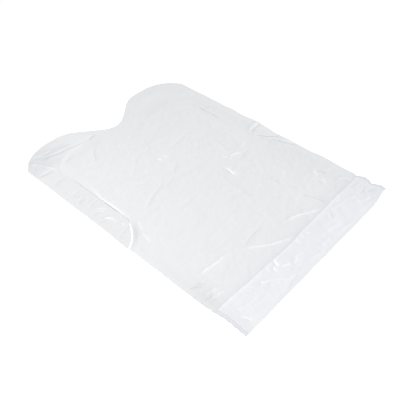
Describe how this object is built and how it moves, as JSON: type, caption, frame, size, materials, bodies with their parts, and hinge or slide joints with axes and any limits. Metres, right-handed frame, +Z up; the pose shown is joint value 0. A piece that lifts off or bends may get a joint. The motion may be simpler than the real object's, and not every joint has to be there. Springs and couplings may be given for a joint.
{
  "type": "barber cape",
  "caption": "Flat disposable plastic-film client cape: curved neck notch between shoulder lobes, die-cut tie strips beside the body and a turned-up catch pocket along the bottom.",
  "frame": {"origin": "middle of the bounding box in the plane the cape rests on", "axes": "+Z up out of the cape's outer face, +Y along the cape from the pocket to the neck, +X across it to the right seen from above with the neck end away"},
  "size_m": [0.45, 0.625, 0.0025],
  "materials": {
    "body_film": "satin, slightly translucent",
    "pocket_film": "satin, slightly translucent",
    "heat_seal": "satin, slightly translucent"
  },
  "bodies": {
    "chest": {"chest_panel": "body_film"},
    "lap": {"lap_panel": "body_film", "bottom_fold": "pocket_film", "left_gusset": "pocket_film", "right_gusset": "pocket_film", "left_side_seal": "heat_seal", "right_side_seal": "heat_seal"},
    "pocket": {"pocket_front": "pocket_film"},
    "left_lobe": {"left_tie_lobe": "body_film"},
    "left_strip": {"left_tie_strip": "body_film"},
    "right_lobe": {"right_tie_lobe": "body_film"},
    "right_strip": {"right_tie_strip": "body_film"}
  },
  "joints": [
    {"name": "lap_fold", "type": "hinge", "parent": "chest", "child": "lap", "pos_m": [0, -0.0625, 0.001], "axis": [-1, 0, 0], "range_deg": [0, 90]},
    {"name": "pocket_mouth", "type": "hinge", "parent": "lap", "child": "pocket", "pos_m": [0, -0.31075, 0.0025], "axis": [1, 0, 0], "range_deg": [0, 25]},
    {"name": "left_tie_root", "type": "hinge", "parent": "chest", "child": "left_lobe", "pos_m": [-0.08, 0.2775, 0.001], "axis": [0, 1, 0], "range_deg": [0, 45]},
    {"name": "left_tie_fold", "type": "hinge", "parent": "left_lobe", "child": "left_strip", "pos_m": [-0.2015, 0.1925, 0.001], "axis": [-1, 0, 0], "range_deg": [0, 135]},
    {"name": "right_tie_root", "type": "hinge", "parent": "chest", "child": "right_lobe", "pos_m": [0.08, 0.2775, 0.001], "axis": [0, -1, 0], "range_deg": [0, 45]},
    {"name": "right_tie_fold", "type": "hinge", "parent": "right_lobe", "child": "right_strip", "pos_m": [0.2015, 0.1925, 0.001], "axis": [-1, 0, 0], "range_deg": [0, 135]}
  ]
}
